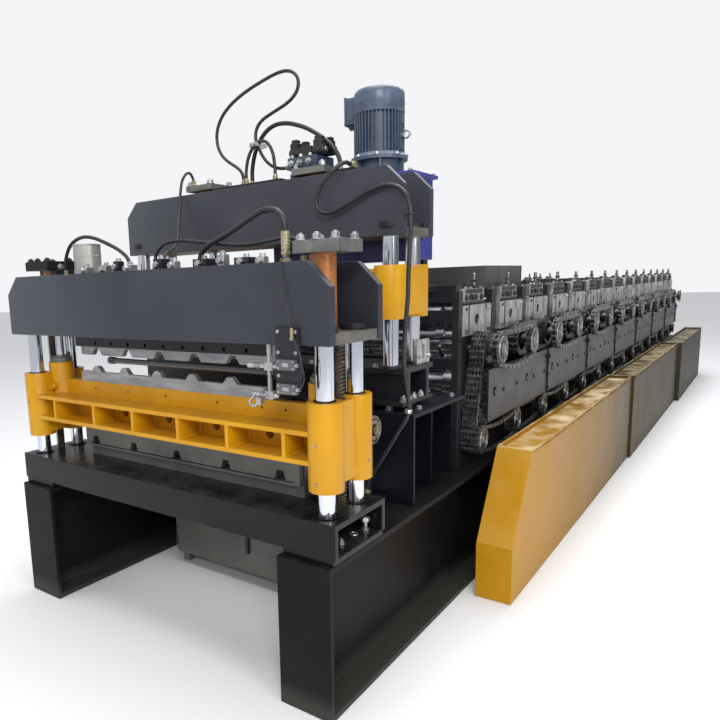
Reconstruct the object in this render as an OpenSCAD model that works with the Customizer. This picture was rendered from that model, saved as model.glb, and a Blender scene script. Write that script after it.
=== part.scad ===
// Two-level roll forming machine with two four-post hydraulic presses.
// Millimetres, +Z up, sheet runs towards -Y, drive side at +X.

/* [Main frame] */
// overall length of the main beams
beam_len = 8480; // [6000:10:9000]
// height of the main beams
beam_h = 512; // [400:1:600]
// width of the main beam flanges
beam_w = 200; // [150:1:250]
// distance from the centre to the outer flange edge
beam_out = 820; // [700:1:900]

/* [Front press] */
// half width of the table
table_hw = 828; // [700:1:900]
// height of the table top
table_z = 644; // [600:1:700]
// half distance between the front pillars across the machine
fp_x = 760; // [700:1:800]
// diameter of the front pillars
fp_d = 58; // [40:1:80]
// half width of the front crosshead
fh_hw = 826; // [750:1:900]
// underside of the front crosshead
fh_z0 = 1180; // [1100:1:1250]
// top of the front crosshead
fh_z1 = 1425; // [1300:1:1500]

/* [Rear press] */
// half distance between the rear pillars across the machine
rp_x = 676; // [600:1:750]
// diameter of the rear pillars
rp_d = 60; // [40:1:80]
// half width of the rear crosshead
rh_hw = 744; // [700:1:850]
// underside of the rear crosshead
rh_z0 = 1520; // [1400:1:1600]
// top of the rear crosshead
rh_z1 = 1770; // [1650:1:1850]

/* [Roll train] */
// number of roll stations
n_st = 15; // [8:1:18]
// distance between stations
st_p = 480; // [350:5:500]
// first station front edge
st_y0 = 1223; // [1100:1:1300]
// height of the lower shaft of the lower level
z_a = 641; // [600:1:700]
// height of the upper shaft of the lower level
z_b = 801; // [700:1:860]
// height of the lower shaft of the upper level
z_c = 1038; // [950:1:1080]
// height of the upper shaft of the upper level
z_d = 1176; // [1100:1:1250]

/* [Guards] */
// inner face of the chain guards
guard_x = 880; // [850:1:950]
// width of the chain guards
guard_w = 152; // [100:1:200]
// height of the chain guards
guard_h = 615; // [500:1:700]

/* [Hidden] */
$fn = 48;

x_mid = 128.5;
y_mid = 4250;
st_last = st_y0 + (n_st-1)*st_p;
st_w = 341;
st_c = 162;
wall_in = 692; wall_out = 722;
y_end = st_last + st_w + 20;
low_off = -110;
function yu(i) = st_y0 + i*st_p + st_c;
function yl(i) = yu(i) + low_off;
blk = [0.10,0.10,0.11];
steel = [0.72,0.73,0.74];
yel = [0.93,0.70,0.12];
fpy1 = 85; fpy2 = 260;
rpy1 = 672; rpy2 = 858;

module place() translate([-x_mid,-y_mid,0]) children();
module both() { children(); mirror([1,0,0]) children(); }
module b(x0,x1,y0,y1,z0,z1) translate([x0,y0,z0]) cube([x1-x0,y1-y0,z1-z0]);
module cz(x,y,z0,z1,d) translate([x,y,z0]) cylinder(d=d,h=z1-z0);
module cx(x0,x1,y,z,d) translate([x0,y,z]) rotate([0,90,0]) cylinder(d=d,h=x1-x0);
module cy(x,y0,y1,z,d) translate([x,y0,z]) rotate([-90,0,0]) cylinder(d=d,h=y1-y0);

// ---------- main frame
module beam() {
  b(beam_out-beam_w,beam_out,16,beam_len,0,20);
  b(beam_out-beam_w,beam_out,16,beam_len,beam_h-20,beam_h);
  b(beam_out-beam_w/2-7,beam_out-beam_w/2+7,16,beam_len,20,beam_h-20);
  b(beam_out-beam_w,beam_out,0,16,0,beam_h);
}
module beam_near() color(blk) place() beam();
module beam_far() color(blk) place() mirror([1,0,0]) beam();
module cross_members() color(blk) place() for (y=[1700,3300,4900,6500,8000])
  b(-beam_out+beam_w/2+7,beam_out-beam_w/2-7,y,y+120,180,380);
module shear_table() color(blk) place() {
  b(-table_hw,table_hw,22,335,table_z-20,table_z);
  b(-table_hw,table_hw,22,42,beam_h+20,table_z-20);
  b(-table_hw,table_hw,315,335,beam_h+20,table_z-20);
  both() b(632,650,42,315,beam_h+20,table_z-20);
  both() b(beam_out-beam_w+8,beam_out,22,335,beam_h,beam_h+20);
}
module rib_slot(x0,x1,z,ribs,h,t) {
  polygon([[x0,z],[x1,z],[x1,z+t],[x0,z+t]]);
  for (x=ribs) polygon([[x-26,z],[x+26,z],[x+13,z+h],[x-13,z+h]]);
}
module table_blade() color(steel) place() translate([0,224,0]) rotate([90,0,0]) linear_extrude(38) difference() {
  polygon([[-545,table_z],[605,table_z],[605,755],[-545,755]]);
  rib_slot(-515,575,698,[-478,-231,21,275,523],40,6);
}
module cabinet() color([0.36,0.37,0.33]) place() {
  b(-480,240,600,1000,50,460);
  for (x=[-460,180]) for (y=[620,940]) b(x,x+40,y,y+40,0,50);
}

// ---------- roll stands
module wall() {
  difference() {
    b(wall_in,wall_out,st_y0-4,y_end,beam_h,1104);
    for (i=[0:n_st-1]) { cx(wall_in-5,wall_out+5,yl(i),z_a,70); cx(wall_in-5,wall_out+5,yl(i),z_b,70); cx(wall_in-5,wall_out+5,yu(i),z_c,70); }
  }
  b(wall_in+16,wall_out+16,st_y0-40,st_y0,beam_h,1302);
  b(wall_in,wall_out,y_end-18,y_end,1104,1302);
  for (i=[0:n_st-2]) b(wall_in,wall_out,st_y0+(i+1)*st_p-62,st_y0+(i+1)*st_p,1104,1302);
}
module wall_near() color(blk) place() wall();
module wall_far() color(blk) place() mirror([1,0,0]) wall();
module bearing_plates() color(steel) place() both() for (i=[0:n_st-1]) difference() {
  b(wall_in,wall_out+18,st_y0+i*st_p,st_y0+i*st_p+st_w-1,1104,1239);
  cx(wall_in-5,wall_out+12,yu(i),z_d,70);
  cx(wall_out+5,wall_out+25,yu(i)+10,1172,50);
}
module screw_down_units() color(steel) place() both() for (i=[0:n_st-1]) {
  b(wall_in,wall_out+14,st_y0+i*st_p+8,st_y0+i*st_p+266,1246,1311);
  cz(wall_in+20,yu(i)+38,1239,1378,16);
}
module tie_bars() color(blk) place() {
  b(-wall_in-16,wall_in+16,st_y0-38,st_y0-4,1255,1302);
  b(-wall_in-16,wall_in+16,st_y0-38,st_y0-4,1168,1221);
  b(-wall_in-16,wall_in+16,st_y0-38,st_y0-4,960,1010);
  for (i=[2,5,9,13]) b(-wall_in,wall_in,st_y0+i*st_p-58,st_y0+i*st_p-6,1255,1300);
  b(-wall_in,wall_in,1800,1850,1255,1300);
}
// ---------- rolls
module roll(y,z,rb,rr,inv) translate([0,y,z]) rotate([0,90,0]) {
  translate([0,0,-wall_out-10]) cylinder(r=34.95,h=2*wall_out+20);
  for (k=[-2:2]) translate([0,0,k*190+(inv?0:95)-25]) cylinder(r=rr,h=50);
  translate([0,0,-580]) cylinder(r=rb,h=1160);
}
module rolls_lower() color(steel) place() for (i=[0:n_st-1]) {
  roll(yl(i),z_a,55,74,true); roll(yl(i),z_b,55,74,false);
}
module rolls_upper() color(steel) place() for (i=[0:n_st-1]) {
  roll(yu(i),z_c,50,62,true); roll(yu(i),z_d,50,62,false);
}
// ---------- chain drive
module loop2(y0,y1,z,r,t) difference() {
  hull() { for (y=[y0,y1]) translate([y,z,0]) circle(r=r); }
  hull() { for (y=[y0,y1]) translate([y,z,0]) circle(r=r-t); }
}
module yz(x0,w) translate([x0,0,0]) rotate([90,0,90]) linear_extrude(w) children();
module sprockets() color([0.3,0.3,0.31]) place() for (i=[0:n_st-1]) {
  cx(wall_out+10,868,yu(i),z_c,60);
  cx(754,804,yu(i),z_c,130);
  cx(816,866,yu(i),z_c,130);
  cx(wall_out+10,829,yl(i),z_a,40);
  cx(i==0?754:778,i==0?804:802,yl(i),z_a,100);
  cx(810,826,yl(i),z_a,100);
}
module drive_chains() color([0.2,0.2,0.21]) place() {
  for (i=[0:n_st-2]) {
    yz(i%2==0?816:754,50) loop2(yu(i),yu(i+1),z_c,77,11);
    yz(i%2==0?810:778,i%2==0?16:24) loop2(yl(i),yl(i+1),z_a,62,11);
  }
  yz(741,67) difference() {
    hull() { translate([yl(0),z_a]) circle(r=62); translate([yu(0),z_c]) circle(r=77); }
    hull() { translate([yl(0),z_a]) circle(r=51); translate([yu(0),z_c]) circle(r=66); }
  }
}
module chain_plates() color(blk) place() for (i=[0:2:n_st-2]) {
  difference() {
    b(824,832,yu(i)-80,yu(i)+872,714,952);
    for (j=[i,i+1]) cx(820,840,yu(j),845,44);
  }
  for (j=[i,i+1], y=[130,330]) cx(wall_out,824,yu(j)+y,835,24);
}
// ---------- guards
module guard(y0,y1,x0,w,h,bev) translate([x0,0,0]) rotate([90,0,90]) difference() {
  linear_extrude(w) polygon(bev ?
    [[y0,0],[y1,0],[y1,h],[y0+235,h],[y0,245]] : [[y0,0],[y1,0],[y1,h],[y0,h]]);
  translate([0,0,9]) linear_extrude(w-6) polygon([[y0+(bev?255:12),h-20],[y1-12,h-20],[y1-12,h+1],[y0+(bev?255:12),h+1]]);
}
module guard_front() color(yel) place() guard(1055,3720,guard_x,guard_w,guard_h,true);
module guard_middle() color(yel) place() guard(3745,6330,guard_x+8,guard_w+8,guard_h,false);
module guard_rear() color([0.33,0.33,0.27]) place() guard(6355,8500,guard_x+25,180,guard_h,false);
module top_cover() color([0.28,0.28,0.26]) place() difference() {
  b(-640,640,1790,2350,1300,1417);
  b(-634,634,1796,2344,1299,1411);
}
module infeed_table() color(blk) place() {
  both() b(wall_in,wall_out,y_end+6,8470,beam_h,1150);
  for (z=[1080,690]) b(-wall_in,wall_in,y_end+20,8470,z,z+20);
}
// ---------- stand of the rear press
module press_brackets() color(blk) place() both() {
  b(500,789,635,650,beam_h,851);
  b(500,735,915,925,beam_h,851);
  b(500,735,1124,1138,beam_h,851);
  b(600,612,650,915,beam_h,851);
  b(600,612,925,1124,beam_h,851);
  b(500,789,635,1138,851,866);
  b(600,686,592,622,beam_h,545);
}
module press_bed() color(blk) place() {
  b(-735,735,660,925,1010,1030);
  b(-735,735,660,925,885,900);
  b(-735,735,700,720,900,1010);
  b(-735,735,865,885,900,1010);
  both() for (x=[560,690]) for (y=[745,840]) b(x,x+35,y,y+35,866,885);
}
module slot_plates() color(steel) place() both() difference() {
  b(709,723,800,916,1030,1125);
  b(700,730,845,870,1050,1105);
}
// ---------- front press
module front_pillars() color([0.8,0.8,0.82]) place() both() for (y=[fpy1,fpy2]) {
  cz(fp_x,y,table_z,fh_z0,fp_d);
}
module head_plate(hw,z0,z1,c) polygon([[-hw,z0],[hw,z0],[hw,z1-c],[hw-c,z1],[-hw+c,z1],[-hw,z1-c]]);
module front_crosshead() color(blk) place() {
  translate([0,47,0]) rotate([90,0,0]) linear_extrude(30) head_plate(fh_hw,fh_z0,fh_z1,75);
  translate([0,330,0]) rotate([90,0,0]) linear_extrude(30) head_plate(fh_hw,fh_z0,fh_z1,75);
}
module front_crosshead_base() color(steel) place() difference() {
  b(-fh_hw+4,fh_hw-4,47,300,fh_z0,fh_z0+32);
  both() cz(705,172,fh_z0-1,fh_z0+33,38.6);
}
module front_top_plate() color(blk) place() b(-650,650,47,300,1405,1425);
module round_can() color([0.8,0.8,0.78]) place() cz(-480,190,1425,1552,116);
module front_cylinders() color([0.72,0.40,0.22]) place() both() difference() {
  cz(705,172,fh_z0+32,1450,85);
  cz(705,172,fh_z0,1400,38.6);
}
module front_cylinder_caps() color(steel) place() both()
  b(642,805,100,245,1450,1488);
module front_blade_holder() color(blk) place() difference() {
  b(-571,485,160,188,1124,fh_z0);
  for (k=[0:8]) cy(-432+k*103.5,155,174,1140,16);
}
module front_upper_blade() color(steel) place() difference() {
  b(-571,485,188,210,1085,fh_z0);
  for (x=[-464,-268,-75,116,305]) translate([x,215,1085]) rotate([90,0,0]) linear_extrude(40) polygon([[-34,-1],[34,-1],[12,30],[-12,30]]);
}
module front_racks() color([0.5,0.47,0.4]) place() both() b(748,772,152,187,table_z,fh_z0);
module switch_bracket() color(blk) place() {
  b(637,723,8,17,1045,1235);
}
module guide_rod() color([0.5,0.5,0.52]) place() {
  cx(-214,622,60,1090,20);
  b(622,650,17,72,1076,1104);
}
// ---------- front carriage
module front_carriage() color(yel) place() difference() {
  union() {
    both() for (y=[fpy1,fpy2]) cz(fp_x,y,729,1007,112);
    both() cz(705,172,915,1050,108);
    b(-fp_x,fp_x,45,300,900,915);
    b(-fp_x,fp_x,45,300,808,823);
    b(-fp_x,fp_x,158,188,823,900);
    b(-fp_x,fp_x,158,188,915,976);
    for (x=[-595,-329,-92,153,389,627]) { b(x-7,x+7,45,158,823,900); b(x-7,x+7,188,300,823,900); }
    both() b(780,792,fpy1,fpy2,745,1000);
    both() b(655,690,290,398,823,900);
    both() b(704,720,fpy1,fpy2,745,1000);
  }
  both() for (y=[fpy1,fpy2]) cz(fp_x,y,700,1010,fp_d+0.1);
  both() b(742,778,146,193,700,1060);
  both() cz(705,172,915,1060,38.2);
  cx(-800,800,370,862,40.1);
  for (x=[-266,-8,241,486]) cy(x,150,195,860,34);
}
module front_carriage_blade() color(steel) place() {
  b(-540,465,158,180,976,1018);
  for (x=[-437,-259,-63,126,314]) translate([x,180,1018]) rotate([90,0,0]) linear_extrude(22) polygon([[-34,0],[34,0],[12,24],[-12,24]]);
}
module front_under_blade() color([0.42,0.43,0.42]) place() translate([0,179,0]) rotate([90,0,0]) linear_extrude(19) difference() {
  polygon([[-545,690],[605,690],[605,808],[-545,808]]);
  rib_slot(-520,580,698,[-478,-231,21,275,523],38,5);
}
module front_rods() color([0.8,0.8,0.82]) place() both() cz(705,172,915,1340,38);
module sync_shaft() color([0.5,0.45,0.35]) place() { cx(-770,770,370,862,40); both() cx(745,770,370,862,98); }
// ---------- rear press
module rear_pillars() color([0.8,0.8,0.82]) place() both() for (y=[rpy1,rpy2]) cz(rp_x,y,1030,rh_z0,rp_d);
module rear_crosshead() color(blk) place() {
  translate([0,672-0,0]) rotate([90,0,0]) linear_extrude(30) head_plate(rh_hw,rh_z0,rh_z1,70);
  translate([0,897,0]) rotate([90,0,0]) linear_extrude(30) head_plate(rh_hw,rh_z0,rh_z1,70);
}
module rear_crosshead_base() color(steel) place() difference() {
  b(-rh_hw+4,rh_hw-4,672,867,rh_z0,rh_z0+32);
  both() cz(300,770,rh_z0-1,rh_z0+33,38.6);
}
module rear_cylinders() color([0.72,0.40,0.22]) place() both() difference() {
  cz(300,770,rh_z0+32,1790,85);
  cz(300,770,rh_z0,1765,38.6);
}
module rear_cylinder_caps() color(steel) place() both() b(222,378,690,850,1790,1815);
module rear_manifold() color(blk) place() { b(-200,180,672,867,1745,1785); b(400,520,672,867,1745,1785); }
module rear_carriage() color(yel) place() difference() {
  union() {
    both() for (y=[rpy1,rpy2]) cz(rp_x,y,1218,1416,120);
    b(-rp_x,rp_x,640,890,1390,1405);
    b(-rp_x,rp_x,640,890,1230,1245);
    b(-rp_x,rp_x,750,790,1245,1390);
    both() b(725,735,rpy1,rpy2,1230,1405);
    both() b(617,627,rpy1,rpy2,1230,1405);
  }
  both() for (y=[rpy1,rpy2]) cz(rp_x,y,1200,1420,rp_d+0.1);
}
module rear_carriage_blade() color(steel) place() b(-560,480,755,785,1180,1230);
module rear_rods() color([0.8,0.8,0.82]) place() both() cz(300,770,1405,1680,38);
// ---------- power pack
module tank() color([0.12,0.25,0.55]) place() {
  b(-60,640,925,1125,1440,1770);
  b(-75,655,905,1145,1770,1785);
}
module tank_stand() color(blk) place() {
  for (x=[-50,590]) { b(x,x+40,1060,1100,1330,1440); b(x,x+40,1060,st_y0-40,1302,1330); }
  b(-wall_out,wall_out,st_y0-40,st_y0,1302,1330);
}
module pump_motor() color([0.25,0.42,0.55]) place() {
  cz(445,1020,1785,1852,178);
  cz(445,1020,1852,1878,236);
  cz(445,1020,1878,2140,212);
  b(300,350,980,1060,2012,2130);
}
module valve_block() color([0.1,0.2,0.5]) place() {
  b(195,335,705,835,1815,1862);
  b(215,265,715,825,1862,1905);
  b(285,335,715,825,1862,1905);
}
module hose_fittings() color([0.7,0.68,0.6]) place() {
  for (q=[[-70,740,1785,1815],[-62,790,1785,1815],[-40,722,1785,1815],[117,722,1785,1815],[412,760,1785,1815],
          [565,172,1425,1529],[165,195,1425,1447],[-80,200,1425,1447],[606,212,1425,1447],[-625,180,1425,1447],
          [-237,210,1425,1447],[-340,705,1815,1835],[-85,250,1425,1447]]) cz(q[0],q[1],q[2],q[3],24);
  cx(165,195,740,1834,24);
  b(488,512,690,722,1785,1812);
  cz(612,605,545,560,24);
}

module crosshead_bases() { front_crosshead_base(); rear_crosshead_base(); }
module crosshead_bridges() { front_top_plate(); rear_manifold(); }
module cylinder_caps() { front_cylinder_caps(); rear_cylinder_caps(); }

// ---------- hoses, swept along route points
function unit(v) = v/norm(v);
function tan_at(p,i) = unit(p[min(i+1,len(p)-1)]-p[max(i-1,0)]);
module tube(p,d,ref) {
  m = 8; n = len(p);
  pts = [for (i=[0:n-1]) let(t=tan_at(p,i),u=unit(cross(t,ref)),v=cross(t,u))
    for (j=[0:m-1]) p[i]+d/2*(cos(j*360/m)*u+sin(j*360/m)*v)];
  side = [for (i=[0:n-2]) for (j=[0:m-1]) let(a=i*m+j,c=i*m+(j+1)%m) each [[a,a+m,c+m],[a,c+m,c]]];
  polyhedron(pts,concat(side,[[for (j=[0:m-1]) j]],[[for (j=[m-1:-1:0]) (n-1)*m+j]]));
}
r_loop_left = [[-70,740,1815],[-70,740,1823],[-86,740,1855],[-122,740,1881],[-159,740,1905],[-191,740,1935],[-212,740,1974],[-217,740,2018],[-205,740,2060],[-180,740,2096],
  [-146,740,2124],[-107,740,2146],[-67,740,2163],[-25,740,2177],[18,740,2189],[61,740,2199],[105,740,2208],[149,740,2212],[192,740,2206],[227,740,2180],[231,740,2137],
  [204,740,2103],[164,740,2083],[122,740,2070],[80,740,2057],[39,740,2040],[9,740,2008],[7,740,1965],[25,740,1924],[49,740,1887],[81,740,1857],[121,740,1839],[157,740,1834],
  [165,740,1834]];
r_loop_right = [[-62,790,1815],[-62,790,1823],[-59,788,1855],[-47,783,1893],[-29,777,1929],[-5,772,1961],[24,768,1989],[58,765,2009],[97,765,2020],[137,765,2019],[176,765,2011],
  [214,764,1998],[251,764,1982],[286,763,1962],[320,762,1940],[352,761,1915],[380,761,1887],[403,760,1854],[412,760,1823],[412,760,1815]];
r_inner = [[-40,722,1815],[-40,722,1838],[-36,722,1862],[-30,722,1885],[-20,722,1907],[-6,722,1927],[11,722,1943],[32,722,1954],[55,722,1956],[77,722,1947],[93,722,1930],
  [104,722,1909],[111,722,1886],[114,722,1863],[117,722,1839],[117,722,1815]];
r_front_right = [[565,172,1529],[565,172,1537],[557,172,1566],[531,174,1592],[494,175,1599],[457,177,1594],[421,179,1581],[386,181,1567],[352,183,1552],[316,185,1539],[280,187,1526],
  [244,189,1515],[209,192,1502],[178,194,1482],[165,195,1455],[165,195,1447]];
r_front_cross = [[-80,200,1447],[-80,200,1455],[-65,201,1495],[-23,202,1523],[28,204,1530],[79,206,1529],[130,209,1523],[181,211,1516],[232,213,1509],[283,214,1502],[335,215,1498],
  [386,215,1497],[438,215,1501],[489,215,1506],[540,214,1510],[588,213,1493],[606,212,1455],[606,212,1447]];
r_front_left = [[-625,180,1447],[-625,180,1455],[-620,180,1486],[-604,181,1522],[-578,183,1552],[-543,185,1570],[-504,188,1579],[-465,191,1578],[-426,194,1570],[-388,197,1557],
  [-352,200,1543],[-315,203,1527],[-280,206,1508],[-250,209,1484],[-237,210,1455],[-237,210,1447]];
r_drop = [[-340,705,1835],[-340,705,1843],[-341,676,1872],[-343,638,1840],[-345,623,1791],[-346,616,1739],[-341,604,1689],[-324,577,1647],[-295,545,1618],[-261,512,1595],
  [-229,478,1574],[-198,441,1553],[-169,402,1533],[-141,361,1517],[-117,316,1505],[-95,271,1490],[-85,250,1455],[-85,250,1447]];
r_side = [[500,690,1800],[500,646,1800],[471,613,1773],[440,604,1741],[411,604,1705],[397,604,1662],[420,607,1624],[464,611,1620],[508,614,1635],[550,617,1654],[592,619,1673],
  [636,620,1688],[681,620,1696],[726,618,1687],[763,611,1661],[785,603,1622],[793,598,1576],[794,595,1530],[792,592,1484],[791,591,1438],[789,590,1392],[788,589,1346],
  [787,589,1300],[783,589,1254],[779,589,1208],[775,589,1162],[771,590,1116],[770,593,1070],[771,599,1024],[774,605,978],[778,613,933],[778,618,887],[763,618,843],
  [739,616,804],[716,614,764],[693,612,724],[670,610,684],[647,608,644],[624,606,604],[612,605,560]];
hcol = [0.1,0.1,0.1];
module hose_loop_left() color(hcol) place() tube(r_loop_left,14,[0,1,0]);
module hose_loop_right() color(hcol) place() tube(r_loop_right,18,[0,1,0]);
module hose_inner() color(hcol) place() tube(r_inner,14,[0,1,0]);
module hose_front_right() color(hcol) place() tube(r_front_right,20,[0,1,0]);
module hose_front_cross() color(hcol) place() tube(r_front_cross,13,[0,1,0]);
module hose_front_left() color(hcol) place() tube(r_front_left,15,[0,1,0]);
module hose_drop() color(hcol) place() tube(r_drop,12,[1,0,0]);
module hose_side() color(hcol) place() tube(r_side,16,[0.6,0.8,0]);
beam_near();
beam_far();
cross_members();
shear_table();
table_blade();
cabinet();
wall_near();
wall_far();
bearing_plates();
screw_down_units();
tie_bars();
rolls_lower();
rolls_upper();
sprockets();
drive_chains();
chain_plates();
guard_front();
guard_middle();
guard_rear();
top_cover();
infeed_table();
press_brackets();
press_bed();
slot_plates();
front_pillars();
front_crosshead();
crosshead_bases();
crosshead_bridges();
front_cylinders();
cylinder_caps();
front_upper_blade();
front_blade_holder();
front_racks();
switch_bracket();
guide_rod();
round_can();
front_carriage();
front_carriage_blade();
front_under_blade();
front_rods();
sync_shaft();
rear_pillars();
rear_crosshead();
rear_cylinders();
rear_carriage();
rear_carriage_blade();
rear_rods();
tank();
tank_stand();
pump_motor();
valve_block();
hose_fittings();
hose_loop_left();
hose_loop_right();
hose_inner();
hose_front_right();
hose_front_cross();
hose_front_left();
hose_drop();
hose_side();
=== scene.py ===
import bpy, bmesh, math, random
from mathutils import Vector, Matrix


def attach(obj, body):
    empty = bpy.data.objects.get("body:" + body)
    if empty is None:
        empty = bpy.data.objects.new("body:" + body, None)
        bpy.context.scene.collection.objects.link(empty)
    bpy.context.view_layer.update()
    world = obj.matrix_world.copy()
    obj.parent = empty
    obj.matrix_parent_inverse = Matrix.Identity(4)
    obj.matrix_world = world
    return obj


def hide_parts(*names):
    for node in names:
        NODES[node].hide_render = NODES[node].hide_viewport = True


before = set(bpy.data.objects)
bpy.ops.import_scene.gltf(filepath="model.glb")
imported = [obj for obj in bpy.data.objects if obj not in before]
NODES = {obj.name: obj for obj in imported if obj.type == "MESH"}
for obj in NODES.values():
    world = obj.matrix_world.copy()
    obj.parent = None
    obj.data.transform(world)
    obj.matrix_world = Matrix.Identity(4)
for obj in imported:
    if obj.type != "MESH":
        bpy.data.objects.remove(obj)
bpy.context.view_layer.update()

X0, Y0 = 128.5, 4250.0
rnd = random.Random(7)


def M(x, y, z):
    return Vector(((x - X0) / 1000.0, (y - Y0) / 1000.0, z / 1000.0))


# ------------------------------------------------------------------ camera
def make_camera():
    yaw, pitch, roll = math.radians(38.0754), math.radians(9.5230), math.radians(-1.9167)
    f = Vector((-math.sin(yaw) * math.cos(pitch), math.cos(yaw) * math.cos(pitch), -math.sin(pitch)))
    rt = Vector((math.cos(yaw), math.sin(yaw), 0))
    up = rt.cross(f)
    r2 = math.cos(roll) * rt + math.sin(roll) * up
    u2 = -math.sin(roll) * rt + math.cos(roll) * up
    cam = bpy.data.cameras.new("camera")
    cam.sensor_width = 36.0
    cam.lens = 643.945 / 720.0 * 36.0
    cam.shift_x = (360 - 270.61) / 720.0
    cam.shift_y = (391.15 - 360) / 720.0
    cam.clip_start, cam.clip_end = 0.05, 100
    ob = bpy.data.objects.new("camera", cam)
    m = Matrix((r2, u2, -f)).transposed().to_4x4()
    m.translation = M(1810.58, -1520.25, 1364.73)
    ob.matrix_world = m
    bpy.context.scene.collection.objects.link(ob)
    bpy.context.scene.camera = ob


make_camera()


# ------------------------------------------------------------------ materials
def mat(name, c1, c2=None, rough=(0.35, 0.5), metal=0.0, scale=5.0, fine=160.0, bump=0.15, dist=0.0006,
        stretch=(1, 1, 1), dust=0.0, dust_col=(0.30, 0.27, 0.22), coat=0.0, spec=0.5, low=None, ior=1.5):
    """Paint or metal with colour variation, fine grain in roughness and bump, and dust on faces that look up."""
    m = bpy.data.materials.new(name)
    m.use_nodes = True
    nt = m.node_tree
    nd, ln = nt.nodes, nt.links
    bs = nd["Principled BSDF"]
    tc = nd.new("ShaderNodeTexCoord")
    mp = nd.new("ShaderNodeMapping")
    mp.inputs["Scale"].default_value = stretch
    ln.new(tc.outputs["Object"], mp.inputs["Vector"])
    n1 = nd.new("ShaderNodeTexNoise")
    n1.inputs["Scale"].default_value = scale
    n1.inputs["Detail"].default_value = 6
    n1.inputs["Roughness"].default_value = 0.62
    ln.new(mp.outputs["Vector"], n1.inputs["Vector"])
    n2 = nd.new("ShaderNodeTexNoise")
    n2.inputs["Scale"].default_value = fine
    n2.inputs["Detail"].default_value = 3
    ln.new(mp.outputs["Vector"], n2.inputs["Vector"])
    c2 = c2 or tuple(v * 0.7 for v in c1)
    rp = nd.new("ShaderNodeValToRGB")
    rp.color_ramp.elements[0].position = 0.36
    rp.color_ramp.elements[1].position = 0.66
    rp.color_ramp.elements[0].color = (*c2, 1)
    rp.color_ramp.elements[1].color = (*c1, 1)
    ln.new(n1.outputs["Fac"], rp.inputs["Fac"])
    col = rp.outputs["Color"]
    mr = nd.new("ShaderNodeMapRange")
    mr.inputs["To Min"].default_value = rough[0]
    mr.inputs["To Max"].default_value = rough[1]
    mr.inputs["From Min"].default_value = 0.3
    mr.inputs["From Max"].default_value = 0.7
    mxn = nd.new("ShaderNodeMath")
    mxn.operation = "MULTIPLY_ADD"
    mxn.inputs[1].default_value = 0.5
    hf = nd.new("ShaderNodeMath")
    hf.operation = "MULTIPLY"
    hf.inputs[1].default_value = 0.5
    ln.new(n2.outputs["Fac"], hf.inputs[0])
    ln.new(n1.outputs["Fac"], mxn.inputs[0])
    ln.new(hf.outputs[0], mxn.inputs[2])
    ln.new(mxn.outputs[0], mr.inputs["Value"])
    rgh = mr.outputs["Result"]
    if low is not None:
        # (axis, from, to, colour): a second tone that grows along one axis of the object; on the crosshead paints it
        # is a painted sheen, lighter toward -X
        ax, a, b, lc = low
        sx = nd.new("ShaderNodeSeparateXYZ")
        ln.new(tc.outputs["Object"], sx.inputs[0])
        m2 = nd.new("ShaderNodeMapRange")
        m2.inputs["From Min"].default_value = a
        m2.inputs["From Max"].default_value = b
        ln.new(sx.outputs[ax], m2.inputs["Value"])
        mm = nd.new("ShaderNodeMath")
        mm.operation = "MULTIPLY_ADD"
        mm.use_clamp = True
        mm.inputs[1].default_value = 0.5
        ln.new(n1.outputs["Fac"], mm.inputs[0])
        sub = nd.new("ShaderNodeMath")
        sub.operation = "SUBTRACT"
        sub.inputs[1].default_value = 0.25
        ln.new(m2.outputs["Result"], sub.inputs[0])
        ln.new(sub.outputs[0], mm.inputs[2])
        mx = nd.new("ShaderNodeMix")
        mx.data_type = "RGBA"
        ln.new(mm.outputs[0], mx.inputs["Factor"])
        ln.new(col, mx.inputs["A"])
        mx.inputs["B"].default_value = (*lc, 1)
        col = mx.outputs["Result"]
    if dust > 0:
        ge = nd.new("ShaderNodeNewGeometry")
        sp = nd.new("ShaderNodeSeparateXYZ")
        ln.new(ge.outputs["Normal"], sp.inputs[0])
        n3 = nd.new("ShaderNodeTexNoise")
        n3.inputs["Scale"].default_value = 9
        n3.inputs["Detail"].default_value = 8
        ln.new(tc.outputs["Object"], n3.inputs["Vector"])
        r3 = nd.new("ShaderNodeMapRange")
        r3.inputs["From Min"].default_value = 0.35
        r3.inputs["From Max"].default_value = 0.7
        ln.new(n3.outputs["Fac"], r3.inputs["Value"])
        ru = nd.new("ShaderNodeMapRange")
        ru.inputs["From Min"].default_value = 0.5
        ru.inputs["From Max"].default_value = 0.95
        ln.new(sp.outputs["Z"], ru.inputs["Value"])
        mu = nd.new("ShaderNodeMath")
        mu.operation = "MULTIPLY"
        ln.new(r3.outputs["Result"], mu.inputs[0])
        ln.new(ru.outputs["Result"], mu.inputs[1])
        mu2 = nd.new("ShaderNodeMath")
        mu2.operation = "MULTIPLY"
        mu2.inputs[1].default_value = dust
        ln.new(mu.outputs[0], mu2.inputs[0])
        mx = nd.new("ShaderNodeMix")
        mx.data_type = "RGBA"
        ln.new(mu2.outputs[0], mx.inputs["Factor"])
        ln.new(col, mx.inputs["A"])
        mx.inputs["B"].default_value = (*dust_col, 1)
        col = mx.outputs["Result"]
    ln.new(col, bs.inputs["Base Color"])
    ln.new(rgh, bs.inputs["Roughness"])
    bp = nd.new("ShaderNodeBump")
    bp.inputs["Strength"].default_value = bump
    bp.inputs["Distance"].default_value = dist
    ln.new(n2.outputs["Fac"], bp.inputs["Height"])
    ln.new(bp.outputs["Normal"], bs.inputs["Normal"])
    bs.inputs["Metallic"].default_value = metal
    bs.inputs["Specular IOR Level"].default_value = spec
    if coat:
        bs.inputs["Coat Weight"].default_value = coat
        bs.inputs["Coat Roughness"].default_value = 0.15
    return m


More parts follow.
